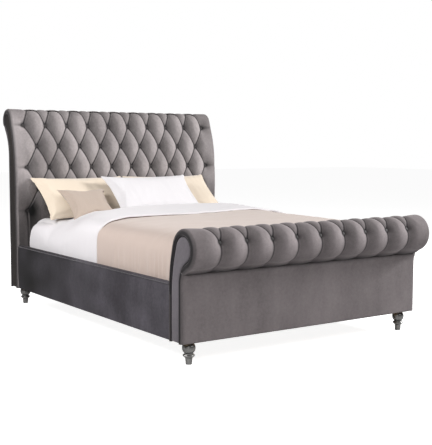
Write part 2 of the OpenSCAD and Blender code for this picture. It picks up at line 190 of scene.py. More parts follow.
def buildNapGroup():
    group, enter, leave = newGroup(
        "velvetNap",
        [("Vector", "NodeSocketVector", None), ("Dark", "NodeSocketColor", (0, 0, 0, 1)),
         ("Light", "NodeSocketColor", (1, 1, 1, 1)), ("Patch Scale", "NodeSocketFloat", 5.0)],
        [("Color", "NodeSocketColor"), ("Height", "NodeSocketFloat")])
    links = group.links
    vector = enter.outputs["Vector"]
    hang = group.nodes.new("ShaderNodeMapping")           # patches run up and down
    hang.inputs["Scale"].default_value = (1.0, 1.0, 0.45)
    links.new(vector, hang.inputs["Vector"])
    patches = noiseNode(group, hang.outputs["Vector"], enter.outputs["Patch Scale"], 4.0, 0.6)
    pile = noiseNode(group, vector, 900.0, 2.0, 0.6)
    streaks = noiseNode(group, vector, 60.0, 3.0, 0.7)
    mask = weighted(group, ((patches, 0.6), (streaks, 0.25), (pile, 0.3)), clamp=True)
    ramp = group.nodes.new("ShaderNodeMapRange")
    links.new(mask, ramp.inputs["Value"])
    ramp.inputs["From Min"].default_value = 0.44
    ramp.inputs["From Max"].default_value = 0.7
    colour = mixColour(group, ramp.outputs["Result"], enter.outputs["Dark"], enter.outputs["Light"])
    links.new(colour, leave.inputs["Color"])
    links.new(weighted(group, ((pile, 0.6), (streaks, 0.5))), leave.inputs["Height"])
    return group


def buildWeaveGroup():
    group, enter, leave = newGroup(
        "plainWeave",
        [("Vector", "NodeSocketVector", None), ("Color", "NodeSocketColor", (1, 1, 1, 1)),
         ("Shade", "NodeSocketFloat", 0.08), ("Threads", "NodeSocketFloat", 900.0)],
        [("Color", "NodeSocketColor"), ("Height", "NodeSocketFloat")])
    links = group.links
    vector = enter.outputs["Vector"]
    split = group.nodes.new("ShaderNodeSeparateXYZ")
    links.new(vector, split.inputs[0])
    lengthways = mathNode(group, "ADD", split.outputs["Y"], split.outputs["Z"])
    threads = enter.outputs["Threads"]
    warp = mathNode(group, "SINE", mathNode(group, "MULTIPLY", split.outputs["X"], threads))
    weft = mathNode(group, "SINE", mathNode(group, "MULTIPLY", lengthways, threads))
    weave = mathNode(group, "MULTIPLY", warp, weft)
    cloud = noiseNode(group, vector, 9.0, 5.0, 0.6)
    slub = noiseNode(group, vector, 220.0, 2.0, 0.5)
    tone = mathNode(group, "MULTIPLY", weighted(group, ((cloud, 0.7), (slub, 0.5))), enter.outputs["Shade"])
    colour = mixColour(group, tone, enter.outputs["Color"], (0.25, 0.2, 0.18, 1))
    links.new(colour, leave.inputs["Color"])
    height = mathNode(group, "ADD", mathNode(group, "MULTIPLY", weave, 0.3), slub)
    links.new(height, leave.inputs["Height"])
    return group


def buildGrainGroup():
    group, enter, leave = newGroup(
        "woodGrain",
        [("Vector", "NodeSocketVector", None), ("Early", "NodeSocketColor", (1, 1, 1, 1)),
         ("Late", "NodeSocketColor", (0, 0, 0, 1))],
        [("Color", "NodeSocketColor"), ("Height", "NodeSocketFloat")])
    links = group.links
    stretch = group.nodes.new("ShaderNodeMapping")
    stretch.inputs["Scale"].default_value = (1.0, 9.0, 14.0)
    links.new(enter.outputs["Vector"], stretch.inputs["Vector"])
    rings = noiseNode(group, stretch.outputs["Vector"], 5.0, 6.0, 0.6)
    fine = noiseNode(group, stretch.outputs["Vector"], 60.0, 2.0, 0.6)
    mask = weighted(group, ((rings, 0.8), (fine, 0.3)))
    colour = mixColour(group, mask, enter.outputs["Late"], enter.outputs["Early"])
    links.new(colour, leave.inputs["Color"])
    links.new(fine, leave.inputs["Height"])
    return group


def buildWearGroup():
    group, enter, leave = newGroup(
        "metalWear",
        [("Vector", "NodeSocketVector", None), ("Bright", "NodeSocketColor", (1, 1, 1, 1)),
         ("Dull", "NodeSocketColor", (0, 0, 0, 1)), ("Roughness", "NodeSocketFloat", 0.3)],
        [("Color", "NodeSocketColor"), ("Roughness", "NodeSocketFloat"), ("Height", "NodeSocketFloat")])
    links = group.links
    cloud = noiseNode(group, enter.outputs["Vector"], 45.0, 5.0, 0.6)
    fine = noiseNode(group, enter.outputs["Vector"], 600.0, 2.0, 0.6)
    colour = mixColour(group, cloud, enter.outputs["Dull"], enter.outputs["Bright"])
    links.new(colour, leave.inputs["Color"])
    rough = mathNode(group, "ADD", enter.outputs["Roughness"], mathNode(group, "MULTIPLY", cloud, 0.18))
    links.new(rough, leave.inputs["Roughness"])
    links.new(fine, leave.inputs["Height"])
    return group


def startMaterial(name):
    paint = bpy.data.materials.new(name)
    paint.use_nodes = True
    return paint, paint.node_tree, paint.node_tree.nodes["Principled BSDF"]


def placeGroup(tree, group, values):
    node = tree.nodes.new("ShaderNodeGroup")
    node.node_tree = group
    tree.links.new(objectCoords(tree), node.inputs["Vector"])
    for label, value in values.items():
        node.inputs[label].default_value = value
    return node


def addBump(tree, shader, height, strength, distance):
    bump = tree.nodes.new("ShaderNodeBump")
    bump.inputs["Strength"].default_value = strength
    bump.inputs["Distance"].default_value = distance
    tree.links.new(height, bump.inputs["Height"])
    tree.links.new(bump.outputs["Normal"], shader.inputs["Normal"])


# turnShade is how far the painted light and shade lighten or darken a cover where it turns toward or away from
# the key light, and is 0.5 where it isn't given
velvetTones = {
    "headVelvet": {"dark": (0.155, 0.139, 0.139), "light": (0.270, 0.245, 0.245),
                   "sheen": 0.3, "turnShade": 1.0},
    "footVelvet": {"dark": (0.118, 0.103, 0.105), "light": (0.195, 0.171, 0.174),
                   "sheen": 0.3, "turnShade": 0.85},
    "railVelvet": {"dark": (0.026, 0.023, 0.028), "light": (0.062, 0.057, 0.067), "sheen": 0.25, "turnShade": 1.0},
    # a darker copy of the facing velvet: painted shade on the headboard's ends
    "shadedHeadFacingVelvet": {"dark": (0.014, 0.012, 0.011), "light": (0.028, 0.024, 0.022), "sheen": 0.1},
    "facingVelvet": {"dark": (0.085, 0.077, 0.086), "light": (0.130, 0.118, 0.130), "sheen": 0.3},
    # near-black piping; its darkness is also painted shade for the groove round the facings
    "pipingGrooveShadeVelvet": {"dark": (0.010, 0.009, 0.010), "light": (0.020, 0.018, 0.020), "sheen": 0.15},
    "railPipingVelvet": {"dark": (0.06, 0.056, 0.062), "light": (0.10, 0.094, 0.104), "sheen": 0.4},
    "buttonVelvet": {"dark": (0.025, 0.022, 0.022), "light": (0.05, 0.045, 0.045), "sheen": 0.2},
}
# The velvet's painted shade in the creases, round the buttons and by the seams, read from the 'fold' attribute
velvetLook = {
    "patchScale": 3.5,
    "creaseShadeFrom": 0.05,           # painted crease shade below this is left out
    "creaseShadeTo": 0.80,             # and above this the painted shade is as dark as it gets
    "creaseShadeMost": 0.96,
    "creaseShadeColour": (0.012, 0.011, 0.012, 1),
    "sheenTint": (0.62, 0.58, 0.58, 1),
}


def makeVelvet(name, napGroup):
    tone = velvetTones[name]
    paint, tree, shader = startMaterial(name)
    nap = placeGroup(tree, napGroup, {"Dark": (*tone["dark"], 1), "Light": (*tone["light"], 1),
                                      "Patch Scale": velvetLook["patchScale"]})
    crease = tree.nodes.new("ShaderNodeAttribute")        # painted shade in the creases, round the buttons and by the seams, from 0 to 1
    crease.attribute_name = "fold"
    creaseShading = tree.nodes.new("ShaderNodeMapRange")
    creaseShading.inputs["From Min"].default_value = velvetLook["creaseShadeFrom"]
    creaseShading.inputs["From Max"].default_value = velvetLook["creaseShadeTo"]
    creaseShading.inputs["To Max"].default_value = velvetLook["creaseShadeMost"]
    tree.links.new(crease.outputs["Fac"], creaseShading.inputs["Value"])
    turnShadeLayer = tree.nodes.new("ShaderNodeAttribute")       # painted light and shade, stored per point as 'lean'
    turnShadeLayer.attribute_name = "lean"
    gain = mathNode(tree, "MULTIPLY", turnShadeLayer.outputs["Fac"], tone.get("turnShade", 0.5))
    gain = mathNode(tree, "ADD", gain, 1.0)
    turnShaded = mixColour(tree, 1.0, nap.outputs["Color"], gain, "MULTIPLY")
    shaded = mixColour(tree, creaseShading.outputs["Result"], turnShaded, velvetLook["creaseShadeColour"])
    tree.links.new(shaded, shader.inputs["Base Color"])
    shader.inputs["Roughness"].default_value = 0.85
    shader.inputs["Specular IOR Level"].default_value = 0.25
    shader.inputs["Sheen Weight"].default_value = tone["sheen"]
    shader.inputs["Sheen Roughness"].default_value = 0.35
    shader.inputs["Sheen Tint"].default_value = velvetLook["sheenTint"]
    addBump(tree, shader, nap.outputs["Height"], 0.25, 0.0006)
    return paint


clothTones = {
    "duvetCotton": {"color": (0.65, 0.625, 0.64), "shade": 0.04, "sheen": 0.2},
    "whiteCotton": {"color": (0.68, 0.66, 0.675), "shade": 0.04, "sheen": 0.25},
    "beigeCotton": {"color": (0.475, 0.385, 0.340), "shade": 0.10, "sheen": 0.25},
    "creamCotton": {"color": (0.69, 0.59, 0.475), "shade": 0.08, "sheen": 0.25},
    # a dark brown hem whose colour is painted shadow under the duvet's turned edge
    "hemShadowCotton": {"color": (0.13, 0.085, 0.065), "shade": 0.1, "sheen": 0.1},
    "tanCotton": {"color": (0.42, 0.34, 0.285), "shade": 0.12, "sheen": 0.25},
    "ticking": {"color": (0.66, 0.64, 0.65), "shade": 0.05, "sheen": 0.2},
}


def makeCloth(name, weaveGroup):
    tone = clothTones[name]
    paint, tree, shader = startMaterial(name)
    weave = placeGroup(tree, weaveGroup, {"Color": (*tone["color"], 1), "Shade": tone["shade"],
                                          "Threads": 2600.0})
    tree.links.new(weave.outputs["Color"], shader.inputs["Base Color"])
    shader.inputs["Roughness"].default_value = 0.8
    shader.inputs["Specular IOR Level"].default_value = 0.2
    shader.inputs["Sheen Weight"].default_value = tone["sheen"]
    shader.inputs["Sheen Roughness"].default_value = 0.5
    addBump(tree, shader, weave.outputs["Height"], 0.2, 0.0005)
    return paint


def makeWood(name, early, late, grainGroup):
    paint, tree, shader = startMaterial(name)
    grain = placeGroup(tree, grainGroup, {"Early": early, "Late": late})
    tree.links.new(grain.outputs["Color"], shader.inputs["Base Color"])
    shader.inputs["Roughness"].default_value = 0.65
    addBump(tree, shader, grain.outputs["Height"], 0.2, 0.0005)
    return paint


def makeMetal(name, bright, dull, rough, wearGroup):
    paint, tree, shader = startMaterial(name)
    wear = placeGroup(tree, wearGroup, {"Bright": bright, "Dull": dull, "Roughness": rough})
    tree.links.new(wear.outputs["Color"], shader.inputs["Base Color"])
    tree.links.new(wear.outputs["Roughness"], shader.inputs["Roughness"])
    shader.inputs["Metallic"].default_value = 1.0
    addBump(tree, shader, wear.outputs["Height"], 0.08, 0.0002)
    return paint


napGroup = buildNapGroup()
weaveGroup = buildWeaveGroup()
grainGroup = buildGrainGroup()
wearGroup = buildWearGroup()
finishes = {name: makeVelvet(name, napGroup) for name in velvetTones}
finishes.update({name: makeCloth(name, weaveGroup) for name in clothTones})
woodTones = {
    "timber": ((0.66, 0.47, 0.27), (0.45, 0.28, 0.13)),
    "plywood": ((0.6, 0.43, 0.24), (0.42, 0.27, 0.13)),
    "glidePlastic": ((0.05, 0.05, 0.05), (0.03, 0.03, 0.03)),
    "foam": ((0.78, 0.72, 0.5), (0.7, 0.64, 0.42)),
}
metalTones = {
    "footMetal": ((0.34, 0.335, 0.33), (0.13, 0.128, 0.125), 0.26),
    "buttonMetal": ((0.1, 0.097, 0.097), (0.05, 0.048, 0.048), 0.6),
    "zincSteel": ((0.68, 0.69, 0.7), (0.5, 0.51, 0.52), 0.35),
}
for name, (early, late) in woodTones.items():
    finishes[name] = makeWood(name, (*early, 1), (*late, 1), grainGroup)
for name, (bright, dull, rough) in metalTones.items():
    finishes[name] = makeMetal(name, (*bright, 1), (*dull, 1), rough, wearGroup)
print("materials made:", len(finishes))

addCamera()
addLights()
addFloor()
print("camera, lights and floor in place")

# The curves of the two boards, from the mattress side over the scroll to the outside
headCurve = {"scrollU": 0.157, "scrollZ": 1.305, "scrollR": 0.080, "sweepR": 1.180, "neckR": 0.300,
             "inner": 0.0, "outer": 0.135}
footCurve = {"scrollU": 0.140, "scrollZ": 0.607, "scrollR": 0.108, "sweepR": 0.860, "neckR": 0.090,
             "inner": 0.0, "outer": 0.131}
faceInset = {"stem": 0.026, "scroll": 0.038, "blend": 0.029}


def facingCurve(curve):
    return {"scrollU": curve["scrollU"], "scrollZ": curve["scrollZ"],
            "scrollR": curve["scrollR"] - faceInset["scroll"],
            "sweepR": curve["sweepR"] - faceInset["blend"],
            "neckR": curve["neckR"] + faceInset["blend"],
            "inner": faceInset["stem"], "outer": curve["outer"] - faceInset["stem"]}


def solveCurve(curve):
    c = dict(curve)
    c["sweepZ"] = c["scrollZ"] - math.sqrt((c["sweepR"] - c["scrollR"]) ** 2
                                           - (c["inner"] + c["sweepR"] - c["scrollU"]) ** 2)
    c["neckZ"] = c["scrollZ"] - math.sqrt((c["scrollR"] + c["neckR"]) ** 2
                                          - (c["outer"] + c["neckR"] - c["scrollU"]) ** 2)
    c["sweepEnd"] = math.atan2(c["scrollZ"] - c["sweepZ"], c["scrollU"] - c["inner"] - c["sweepR"])
    c["neckEnd"] = math.atan2(c["neckZ"] - c["scrollZ"], c["outer"] + c["neckR"] - c["scrollU"])
    lengths = [c["sweepZ"] - baseZ, c["sweepR"] * (math.pi - c["sweepEnd"]),
               c["scrollR"] * (c["sweepEnd"] - c["neckEnd"]), c["neckR"] * -c["neckEnd"],
               c["neckZ"] - baseZ]
    c["marks"] = np.concatenate([[-lengths[0]], np.cumsum([0.0] + lengths[1:])])
    return c


def curvePoint(c, part, t):
    # part 0 to 4: inner face, sweep, scroll, neck, outer face; t runs from 0 to 1 along it
    u = np.zeros_like(t)
    z = np.zeros_like(t)
    angle = np.full_like(t, math.pi)
    straight = part == 0
    u[straight] = c["inner"]
    z[straight] = baseZ + t[straight] * (c["sweepZ"] - baseZ)
    sweep = part == 1
    angle[sweep] = math.pi + t[sweep] * (c["sweepEnd"] - math.pi)
    u[sweep] = c["inner"] + c["sweepR"] * (1 + np.cos(angle[sweep]))
    z[sweep] = c["sweepZ"] + c["sweepR"] * np.sin(angle[sweep])
    scroll = part == 2
    angle[scroll] = c["sweepEnd"] + t[scroll] * (c["neckEnd"] - c["sweepEnd"])
    u[scroll] = c["scrollU"] + c["scrollR"] * np.cos(angle[scroll])
    z[scroll] = c["scrollZ"] + c["scrollR"] * np.sin(angle[scroll])
    neck = part == 3
    angle[neck] = c["neckEnd"] * (1 - t[neck])
    u[neck] = c["outer"] + c["neckR"] - c["neckR"] * np.cos(angle[neck])
    z[neck] = c["neckZ"] - c["neckR"] * np.sin(angle[neck])
    back = part == 4
    angle[back] = 0.0
    u[back] = c["outer"]
    z[back] = c["neckZ"] - t[back] * (c["neckZ"] - baseZ)
    return u, z, np.cos(angle), np.sin(angle)


def curvePart(c, s):
    marks = c["marks"]
    part = np.clip(np.searchsorted(marks, s, side="right") - 1, 0, 4)
    t = (s - marks[part]) / (marks[part + 1] - marks[part])
    return part, np.clip(t, 0, 1)


boards = {}
for key, curve, y, way in (("head", headCurve, headY, 1), ("foot", footCurve, footY, -1)):
    boards[key] = {"curve": curve, "outer": solveCurve(curve), "face": solveCurve(facingCurve(curve)),
                   "y": y, "way": way}


def scrollS(board, degrees):
    # How far along the curve the scroll reaches this angle above level
    c = board["outer"]
    return float(c["marks"][2] + c["scrollR"] * (c["sweepEnd"] - math.radians(degrees)))


# Deep buttoning
tufting = {
    "halfPitch": 0.0845,
    "pitDepth": 0.013,          # how far a button pulls the cover in, below the pleats
    "pitRadius": 0.040,
    "pleatDepth": 0.0145,       # how far the pleats lie below the diamonds' crowns
    "crown": 0.0025,            # how far a crown stands proud of the board's outline
    "domePower": 0.46,          # lower is flatter, with steeper pleats
    "perHalfPitch": 20,
    "lastColumn": 9,            # half pitches from the middle to the outermost buttons
    "sideFade": 0.45,           # the pleats die away past the outermost buttons
    "sideLoss": 0.8,
    "leastPleat": 0.12,
    "pitPower": 1.25,
    "creaseShadeWidth": 0.0050,        # half width of the painted shade line along a pleat
    "pitShadeRadius": 0.016,        # and of the painted shade round a button
    "creaseLineShade": 0.8,
    "buttonPitShade": 0.9,
    "turnShadeAcross": 1.7,          # how strongly the painted light brightens the cover where it turns to the right, toward the key light
    "turnShadeUp": 0.5,
    "turnShadeReach": 0.014,
}


def smoothStep(value, start, end):
    t = np.clip((value - start) / (end - start), 0, 1)
    return t * t * (3 - 2 * t)


def buttonDepths(x, v, vFirst, vLast, rise, pastRows=0.35, bareRows=0):
    # v counts rows of buttons; u + v is odd at a button. rise is the distance between two rows
    halfPitch, least = tufting["halfPitch"], tufting["leastPleat"]
    u = np.abs(x) / halfPitch
    over = np.maximum(u - tufting["lastColumn"], 0)
    past = np.maximum(vFirst - v, 0) + np.maximum(v - vLast, 0)
    uIn = np.minimum(u, tufting["lastColumn"])
    vIn = np.clip(v, vFirst, vLast)
    alpha = (uIn + vIn + 1) / 2
    beta = (vIn - uIn + 1) / 2
    dome = np.abs(np.sin(np.pi * alpha) * np.sin(np.pi * beta))
    # past the corners of the pattern the side pleat and the row's pleats part company
    lastFull = np.where(v < vFirst, vFirst % 2 == 0, vLast % 2 == 0)
    corner = (over > 0) & (past > 0) & lastFull
    dome = np.where(corner, np.maximum(dome, np.minimum(over, past)), dome)
    sideways = (1 - np.exp(-over / tufting["sideFade"])) * tufting["sideLoss"]
    fade = 1 - sideways - pastRows * np.minimum(past, 1)
    pleats = tufting["pleatDepth"] * np.clip(fade, least, 1) * (1 - dome ** tufting["domePower"])
    da = alpha - np.round(alpha)
    db = beta - np.round(beta)
    reach = np.hypot((np.abs(da - db) + over) * halfPitch, (np.abs(da + db) + past) * rise)
    pits = tufting["pitDepth"] * np.exp(-(reach / tufting["pitRadius"]) ** tufting["pitPower"])
    # painted shade: a dark line along each pleat and a dark spot round each button, returned beside the depth
    pitShadeMask = np.exp(-(reach / tufting["pitShadeRadius"]) ** 2)
    if bareRows:                # the last rows have pleats that cross, but no buttons
        buttoned = 1 - smoothStep(v, vLast - bareRows + 0.25, vLast - bareRows + 0.6)
        pits, pitShadeMask = pits * buttoned, pitShadeMask * buttoned
    slope = 2 / math.hypot(1 / halfPitch, 1 / rise)
    crease = np.minimum(np.abs(da), np.abs(db)) * slope
    line = np.exp(-(crease / tufting["creaseShadeWidth"]) ** 2) * np.clip(fade, least, 1)
    dark = np.clip(tufting["creaseLineShade"] * line + tufting["buttonPitShade"] * pitShadeMask, 0, 1)
    return pleats + pits - tufting["crown"], dark


def softNoise(points, scale, seed):
    return np.array([noise.noise(Vector((p[0] * scale + seed, p[1] * scale, p[2] * scale - seed)))
                     for p in points])


def deselectAll():
    if bpy.context.object and bpy.context.object.mode != "OBJECT":
        bpy.ops.object.mode_set(mode="OBJECT")
    bpy.ops.object.select_all(action="DESELECT")


def selectOnly(piece):
    deselectAll()
    bpy.context.view_layer.objects.active = piece
    piece.select_set(True)


def openMesh(piece):
    work = bmesh.new()
    work.from_mesh(piece.data)
    return work


def storeMesh(work, piece):
    work.to_mesh(piece.data)
    work.free()


def readPoints(piece):
    points = np.empty(len(piece.data.vertices) * 3)
    piece.data.vertices.foreach_get("co", points)
    return points.reshape(-1, 3)


def standFor(piece, nodes, body="frame"):
    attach(piece, body)
    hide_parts(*nodes)


def finishPiece(piece, name, finish, smoothAngle=None):
    piece.name = piece.data.name = name
    piece.data.materials.clear()
    piece.data.materials.append(finishes[finish])
    selectOnly(piece)
    bpy.ops.object.transform_apply(location=True, rotation=True, scale=True)
    if smoothAngle is None:
        bpy.ops.object.shade_smooth()
    else:
        bpy.ops.object.shade_smooth_by_angle(angle=math.radians(smoothAngle))
    return piece


def applyModifier(piece, kind, **settings):
    selectOnly(piece)
    modifier = piece.modifiers.new(kind.title(), kind)
    for key, value in settings.items():
        setattr(modifier, key, value)
    bpy.ops.object.modifier_apply(modifier=modifier.name)


def placeGrid(rows):
    # A grid primitive whose points are laid out as rows, a (rows, columns, 3) array
    count, wide = rows.shape[:2]
    deselectAll()
    bpy.ops.mesh.primitive_grid_add(x_subdivisions=wide - 1, y_subdivisions=count - 1, size=1)
    piece = bpy.context.object
    piece.data.vertices.foreach_set("co", rows.reshape(-1))
    piece.data.update()
    return piece


def closeAcross(work, wide):
    # Joins the two long sides of a grid that is wide points across, and fills its ends
    sides = [e for e in work.edges if e.is_boundary
             and e.verts[0].index % wide == e.verts[1].index % wide]
    bmesh.ops.bridge_loops(work, edges=sides)
    bmesh.ops.holes_fill(work, edges=[e for e in work.edges if e.is_boundary], sides=0)
    bmesh.ops.recalc_face_normals(work, faces=work.faces)


def closedPad(name, rows, fold, finish):
    # fold says which way each cell of the grid is creased; the pad is closed across its back
    piece = placeGrid(rows)
    wide = rows.shape[1]
    work = openMesh(piece)
    straight, turned = [], []
    for face in work.faces:
        low = min(v.index for v in face.verts)
        crease = fold[low // wide, low % wide]
        if crease:
            first = face.verts[0].index - low
            alongRise = first in (0, wide + 1)
            (straight if alongRise == (crease > 0) else turned).append(face)
    bmesh.ops.triangulate(work, faces=straight, quad_method="FIXED")
    bmesh.ops.triangulate(work, faces=turned, quad_method="ALTERNATE")
    closeAcross(work, wide)
    storeMesh(work, piece)
    finishPiece(piece, name, finish)
    for face in piece.data.polygons:
        face.use_smooth = len(face.vertices) < 5
    return piece


panelEdge = {"radius": 0.016, "arcSteps": 7, "sideSteps": 6, "sidePuff": 0.004, "seamDip": 0.010,
             "darkFull": 0.60, "darkFrom": 0.95}          # heights between which the painted low shade comes in


def storeValue(piece, name, values):
    layer = piece.data.attributes.new(name, "FLOAT", "POINT")
    layer.data.foreach_set("value", np.ascontiguousarray(values, dtype=np.float32).reshape(-1))


def makePanel(name, board, sRows, vRows, depthOf, finish, dx=None, sideShade=0.6, lowShade=0.0):
    # A padded panel over a stretch of a board's curve, wrapped round both ends to the facings
    outer, face, way = board["outer"], board["face"], board["way"]
    part, t = curvePart(outer, sRows)
    u, z, nu, nz = curvePoint(outer, part, t)
    fu, fz, _, _ = curvePoint(face, part, t)
    step = dx or tufting["halfPitch"] / tufting["perHalfPitch"]
    radius, dip, near = panelEdge["radius"], panelEdge["seamDip"], tufting["turnShadeReach"]
    most = int((halfWidth - radius) / step)
    across = np.arange(-most, most + 1) * step

    def depthAt(x):
        return depthOf(np.full_like(vRows, x), vRows)

    def column(x, depth):
        return np.stack([np.full_like(u, x), board["y"] + way * (u - nu * depth), z - nz * depth], axis=1)

    columns, creaseShades, turnShades = [], [], []
    for x in across:
        depth, fold = depthAt(x)
        columns.append(column(x, depth))
        creaseShades.append(fold)
        # painted light and shade: lighter where the cover turns right or up toward the key light, and lowShade
        # darker low down
        beside = (depthAt(x + near)[0] - depthAt(x - near)[0]) / (2 * near)
        upward = way * tufting["turnShadeUp"] * np.gradient(depth, sRows)
        turnShades.append(np.tanh(tufting["turnShadeAcross"] * beside + upward)
                     - lowShade * smoothStep(-z, -panelEdge["darkFrom"], -panelEdge["darkFull"]))
    for angle in np.linspace(0, math.pi / 2, panelEdge["arcSteps"] + 1)[1:]:
        x = halfWidth - radius + radius * np.sin(angle)
        columns.append(column(x, depthAt(x)[0] + radius * (1 - np.cos(angle))))
    rightEdge = columns[-1]
    inside = np.stack([np.full_like(fu, halfWidth - dip), board["y"] + way * fu, fz], axis=1)
    for w in np.linspace(0, 1, panelEdge["sideSteps"] + 1)[1:]:
        mid = rightEdge * (1 - w) + inside * w
        mid[:, 0] += panelEdge["sidePuff"] * math.sin(math.pi * min(1, w * 1.15)) + (dip * w - dip * w ** 5)
        columns.append(mid)
    left = [col * (-1, 1, 1) for col in columns[len(across):][::-1]]
    rows = np.stack(left + columns, axis=1)
    crease = np.zeros(rows.shape[:2], int)
    if dx is None:
        midV = (vRows[:-1] + vRows[1:]) / 2
        for j in range(len(across) - 1):
            cell = math.floor((across[j] + across[j + 1]) / 2 / tufting["halfPitch"])
            crease[:-1, len(left) + j] = np.where((cell + np.floor(midV).astype(int)) % 2 == 1, 1, -1)
    piece = closedPad(name, rows, crease, finish)
    # painted shade: darker velvet over the rounded ends and sides, with the painted crease shade between,
    # stored as 'fold'; the painted light and shade from turning is stored as 'lean'
    edgeShade = sideShade * np.minimum(np.arange(1, len(left) + 1) / panelEdge["arcSteps"], 1)
    shade = np.concatenate([np.tile(edgeShade[::-1], (len(sRows), 1)), np.stack(creaseShades, axis=1),
                            np.tile(edgeShade, (len(sRows), 1))], axis=1)
    storeValue(piece, "fold", np.clip(shade, 0, 1))
    storeValue(piece, "lean", np.pad(np.stack(turnShades, axis=1), ((0, 0), (len(left), len(left)))))
    return piece


def spacedRows(sMarks, vMarks, steps):
    s, v = [], []
    for i, n in enumerate(steps):
        ends = i == len(steps) - 1
        s.append(np.linspace(sMarks[i], sMarks[i + 1], n + 1)[: None if ends else -1])
        v.append(np.linspace(vMarks[i], vMarks[i + 1], n + 1)[: None if ends else -1])
    return np.concatenate(s), np.concatenate(v)


def seamTuck(sRows, v, vRows, start, end, reach, depth):
    # extra depth near the two ends of a panel, where it is pulled into its seams
    s = np.interp(v, vRows, sRows)
    into = 0.0
    if start:
        into = into + np.clip(1 - (s - sRows[0]) / reach, 0, 1) ** 2
    if end:
        into = into + np.clip(1 - (sRows[-1] - s) / reach, 0, 1) ** 2
    return depth * into


headboard = {
    "firstRow": 0.381,          # how far up the curve the top row below the roll lies
    "rise": 0.1535,
    "rowsBelow": 4,
    # degrees above level; the second lies before the first along the curve, so that the pad
    # doubles back over the top of the roll between them
    "rollRows": (46, 112),
    "steps": [26, 20, 20, 20, 20, 26, 18, 10],
    "pastRows": 0.5,
    "frontSeam": (0.03, 0.008),  # how far from a seam the pad is pulled in, and how deep
    "backSeam": (0.02, 0.006),
}


def makeHeadboard():
    board = boards["head"]
    marks = board["outer"]["marks"]
    rise = headboard["rise"]
    rows = [headboard["firstRow"] - k * rise for k in range(headboard["rowsBelow"], -1, -1)]
    rows += [scrollS(board, angle) for angle in headboard["rollRows"]]
    sRows, vRows = spacedRows([marks[0]] + rows + [marks[3]], [-3.5] + list(range(7)) + [7.0],
                              headboard["steps"])

    def depths(x, v):
        depth, fold = buttonDepths(x, v, 0, 6, rise, headboard["pastRows"], bareRows=1)
        return depth + seamTuck(sRows, v, vRows, False, True, *headboard["frontSeam"]), fold

    # painted shade: the headboard is darker low down and over its rounded ends
    front = makePanel("headboardFrontPad", board, sRows, vRows, depths, "headVelvet",
                      sideShade=0.75, lowShade=0.6)
    sBack = np.linspace(marks[3], marks[5], 60)

    def backDepths(x, v):
        return seamTuck(sBack, v, sBack, True, False, *headboard["backSeam"]), 0 * x

    back = makePanel("headboardBackPanel", board, sBack, sBack, backDepths, "headVelvet", dx=0.02)
    standFor(front, ["headboard_front_cover", "headboard_foam"])
    standFor(back, ["headboard_back_cover"])


def neckSeamS(board, z):
    # How far along the curve the neck under the scroll comes down to the height z
    c = board["outer"]
    return float(c["marks"][3] + c["neckR"] * (-c["neckEnd"] - math.asin((z - c["neckZ"]) / c["neckR"])))


footboard = {
    "seamZ": 0.475,             # height of the seam under the roll
    "backRow": 142,             # degrees above level, on the roll
    "frontRow": 24,
    "innerTop": -0.001,         # where the inner panel meets the roll's cover, along the curve
    "steps": [10, 34, 28],
    "pastRows": 0.45,
    "rollSeam": (0.03, 0.010),
    "panelSeam": (0.02, 0.005),
    "rollShadow": (0.07, 0.8),  # how far from the seam the cover is darker, and by how much
    "panelShadow": (0.03, 0.5),
}


def makeFootboard():
    board = boards["foot"]
    marks = board["outer"]["marks"]
    seam = neckSeamS(board, footboard["seamZ"])
    rowBack, rowFront = scrollS(board, footboard["backRow"]), scrollS(board, footboard["frontRow"])
    sRows, vRows = spacedRows([footboard["innerTop"], rowBack, rowFront, seam], [-0.25, 0, 1, 2.0],
                              footboard["steps"])

    def depths(x, v):
        depth, fold = buttonDepths(x, v, 0, 1, rowFront - rowBack, footboard["pastRows"])
        reach, dark = footboard["rollShadow"]
        shadow = dark * seamTuck(sRows, v, vRows, False, True, reach, 1.0)
        tuck = seamTuck(sRows, v, vRows, False, True, *footboard["rollSeam"])
        return depth + tuck, np.maximum(fold, shadow)

    # painted light low on the roll, which is a little lighter there, and painted shade over its rounded ends
    roll = makePanel("footboardRollPad", board, sRows, vRows, depths, "footVelvet",
                     sideShade=0.8, lowShade=-0.16)
    sOut = np.linspace(seam, marks[5], 48)

    def outDepths(x, v):
        reach, dark = footboard["panelShadow"]
        shadow = dark * seamTuck(sOut, v, sOut, True, False, reach, 1.0)
        return seamTuck(sOut, v, sOut, True, False, *footboard["panelSeam"]), shadow

    panel = makePanel("footboardOuterPanel", board, sOut, sOut, outDepths, "footVelvet",
                      dx=0.02, sideShade=0.8)
    sIn = np.linspace(marks[0], footboard["innerTop"], 12)
    inner = makePanel("footboardInnerPanel", board, sIn, sIn, lambda x, v: (0 * x, 0 * x), "footVelvet",
                      dx=0.05)
    standFor(roll, ["footboard_roll_cover", "footboard_foam"])
    standFor(panel, ["footboard_outer_cover"])
    standFor(inner, ["footboard_inner_cover"])


makeHeadboard()
makeFootboard()
print("headboard and footboard upholstered")


# Facings and piping
def facingLoop(board, inset=0.0, steps=(10, 22, 34, 8, 14)):
    # The closed outline of a board's end panel, as (u, z) places
    base = facingCurve(board["curve"])
    base["scrollR"] -= inset
    base["sweepR"] -= inset
    base["neckR"] += inset
    base["inner"] += inset
    base["outer"] -= inset
    curve = solveCurve(base)
    marks = curve["marks"]
    s = np.concatenate([np.linspace(marks[i], marks[i + 1], n + 1)[:-1] for i, n in enumerate(steps)]
                       + [[marks[5]]])
    part, t = curvePart(curve, s)
    u, z, _, _ = curvePoint(curve, part, t)
    return u, np.maximum(z, baseZ + inset)


facing = {"back": 0.834, "edge": 0.8425, "inset": 0.003, "tubeRadius": 0.0042, "tubeX": 0.8445,
          "tubeInset": -0.001,
          # how far each step of the crown goes in from the edge, and up
          "crown": ((0.0025, 0.0030), (0.0035, 0.0020), (0.006, 0.0012), (0.008, 0.0003))}


def loopToWorld(board, side, x, u, z):
    return np.stack([np.full_like(u, side * x), board["y"] + board["way"] * u, z], axis=1)


